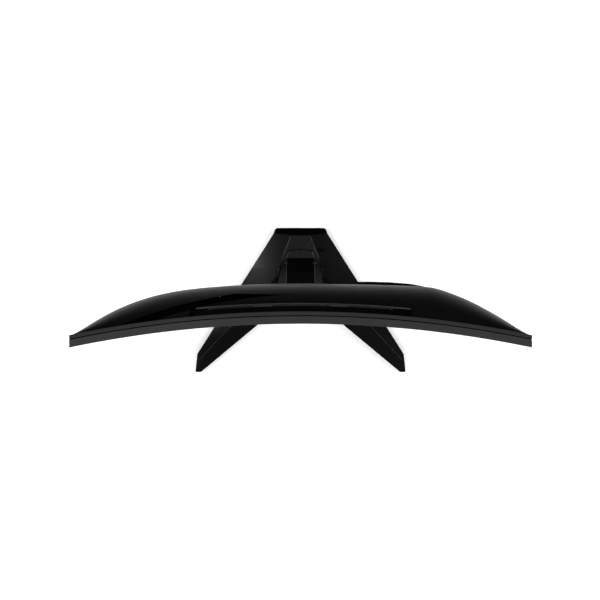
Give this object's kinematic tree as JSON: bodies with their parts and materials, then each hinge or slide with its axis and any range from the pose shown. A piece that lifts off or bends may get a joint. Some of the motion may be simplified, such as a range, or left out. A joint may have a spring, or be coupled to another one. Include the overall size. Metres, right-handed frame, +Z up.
{
  "type": "computer monitor",
  "caption": "Curved desk monitor with a swollen rear cover, tilting on a leaning neck that stands on a V-shaped base.",
  "frame": {"origin": "on the table, under the middle of the stand and of the screen", "axes": "+Z up, -Y towards the viewer (the screen faces -Y), +X to the viewer's right"},
  "size_m": [0.6116, 0.2254, 0.4579],
  "materials": {
    "bezel_plastic": "fine matte black",
    "gloss_cover": "piano black",
    "matte_cover": "matte black",
    "neck_satin": "satin dark grey",
    "base_plastic": "satin black",
    "screen_glass": "coated, unlit",
    "white_plastic": "milky sheet",
    "board": "solder mask",
    "steel": "zinc plated",
    "painted_steel": "black powder coat",
    "brass": "plain",
    "can": "plain",
    "flex": "polyimide",
    "socket_metal": "nickel plated",
    "rubber": "moulded",
    "lens": "frosted"
  },
  "bodies": {
    "stand": {"neck_rear_upper": "gloss_cover", "neck_rear_lower": "gloss_cover", "neck_front_cover": "matte_cover", "neck_side_left": "neck_satin", "neck_side_right": "neck_satin", "hinge_cap": "matte_cover", "neck_core": "steel", "base_cover": "base_plastic", "base_steel_plate": "painted_steel", "base_plate_screws": "steel", "rubber_feet": "rubber", "base_clamp_plate": "painted_steel", "neck_collar": "matte_cover", "friction_washers": "steel"},
    "head": {"audio_jack": "matte_cover", "board_shield": "steel", "board_standoffs": "brass", "bracket_posts": "steel", "bracket_screws": "steel", "button_board": "board", "chin_strip": "bezel_plastic", "dc_inlet": "matte_cover", "diffuser_sheets": "white_plastic", "displayport_socket": "socket_metal", "driver_capacitors": "can", "driver_standoffs": "brass", "front_bezel": "bezel_plastic", "hdmi_socket_left": "socket_metal", "hdmi_socket_right": "socket_metal", "hinge_bracket": "steel", "hinge_nut": "steel", "hinge_shaft": "steel", "joystick_board": "board", "joystick_housing": "matte_cover", "joystick_posts": "brass", "joystick_well": "matte_cover", "lcd_glass": "screen_glass", "led_bar": "board", "led_driver_board": "board", "light_guide": "white_plastic", "lock_slot_plate": "steel", "main_board": "board", "panel_chassis": "steel", "panel_driver_board": "board", "panel_flex_cable": "flex", "pocket_liner": "matte_cover", "port_bay": "matte_cover", "power_light_lens": "lens", "raised_rear_panel": "matte_cover", "rear_cover": "gloss_cover", "reflector_sheet": "white_plastic", "top_vent_grille": "matte_cover", "upper_wedge_panel": "matte_cover", "vesa_inserts": "brass", "vesa_plugs": "matte_cover"},
    "thumbscrew": {"base_thumbscrew": "steel"},
    "stick_ball": {"joystick_ball": "matte_cover"},
    "stick_stem": {"joystick_stem": "matte_cover"},
    "stick_cap": {"joystick_cap": "matte_cover"},
    "power_key": {"power_button": "bezel_plastic"}
  },
  "joints": [
    {"name": "tilt", "type": "hinge", "parent": "stand", "child": "head", "pos_m": [0, 0.005, 0.222], "axis": [-1, 0, 0], "range_deg": [-5, 20]},
    {"name": "thumbscrew_turn", "type": "hinge", "parent": "stand", "child": "thumbscrew", "pos_m": [0, 0.05325, 0.004], "axis": [0, 0, 1], "continuous": true},
    {"name": "stick_side", "type": "hinge", "parent": "head", "child": "stick_ball", "pos_m": [0.245, -0.025, 0.15], "axis": [0, 0, 1], "range_deg": [-8, 8], "stiffness_Nm_per_rad": 0.05},
    {"name": "stick_lift", "type": "hinge", "parent": "stick_ball", "child": "stick_stem", "pos_m": [0.245, -0.025, 0.15], "axis": [1, 0, 0], "range_deg": [-8, 8], "stiffness_Nm_per_rad": 0.05},
    {"name": "stick_press", "type": "slide", "parent": "stick_stem", "child": "stick_cap", "axis": [0, -1, 0], "range_m": [0, 0.001], "stiffness_N_per_m": 500},
    {"name": "power_press", "type": "slide", "parent": "head", "child": "power_key", "axis": [0, 0, 1], "range_m": [0, 0.0008], "stiffness_N_per_m": 600}
  ]
}
